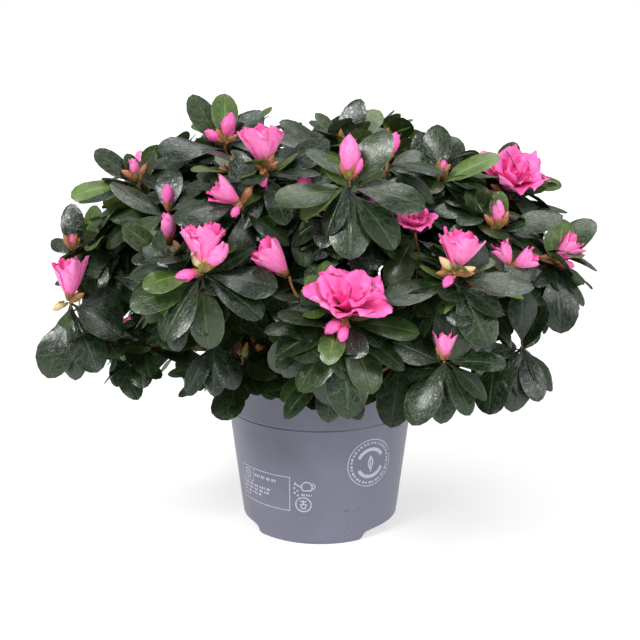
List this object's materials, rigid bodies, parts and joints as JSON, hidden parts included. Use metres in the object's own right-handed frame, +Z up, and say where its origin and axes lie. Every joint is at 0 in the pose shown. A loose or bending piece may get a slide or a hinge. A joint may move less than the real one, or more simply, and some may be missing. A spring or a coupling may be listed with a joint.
{
  "type": "azalea shrub",
  "caption": "Potted azalea shrub in flower: a low domed crown of leafy masses and pink blooms on boughs from a short stem, in a tapered round nursery pot with a banded rim.",
  "frame": {"origin": "centre of the pot's flat underside, on the ground", "axes": "+Z up along the pot's axis, -Y towards the plant's front, +X to the right as seen from the front and along the crown's greatest width"},
  "size_m": [0.3305, 0.3169, 0.2741],
  "materials": {
    "pot": "satin grey-violet moulded plastic",
    "soil": "dark moist peat compost",
    "bark": "rough red-brown bark",
    "foliage": "leathery dark green leaves with a gloss",
    "blossom": "thin satin petals, hot pink"
  },
  "bodies": {
    "root": {"pot": "pot", "soil": "soil", "stem": "bark", "bough_front": "bark", "bough_right": "bark", "bough_back": "bark", "bough_left": "bark", "bough_low_left": "bark", "bough_low_front_right": "bark", "bough_back_right": "bark", "bough_back_left": "bark", "bough_front_left": "bark", "bough_upper_right": "bark", "bough_upper_back": "bark", "bough_leader": "bark", "foliage_top_middle": "foliage", "foliage_top_left": "foliage", "foliage_top_right": "foliage", "foliage_top_back_left": "foliage", "foliage_top_back_right": "foliage", "foliage_upper_front_left": "foliage", "foliage_upper_front": "foliage", "foliage_upper_front_right": "foliage", "foliage_upper_left": "foliage", "foliage_upper_right": "foliage", "foliage_upper_back_left": "foliage", "foliage_upper_back": "foliage", "foliage_upper_back_right": "foliage", "foliage_front_left": "foliage", "foliage_front": "foliage", "foliage_front_right": "foliage", "foliage_left": "foliage", "foliage_right": "foliage", "foliage_back_left": "foliage", "foliage_back": "foliage", "foliage_back_right": "foliage", "foliage_low_left": "foliage", "foliage_low_front_left": "foliage", "foliage_low_front": "foliage", "foliage_low_front_right": "foliage", "foliage_low_right": "foliage", "foliage_low_back_left": "foliage", "foliage_low_back": "foliage", "foliage_low_back_right": "foliage"}
  },
  "joints": []
}
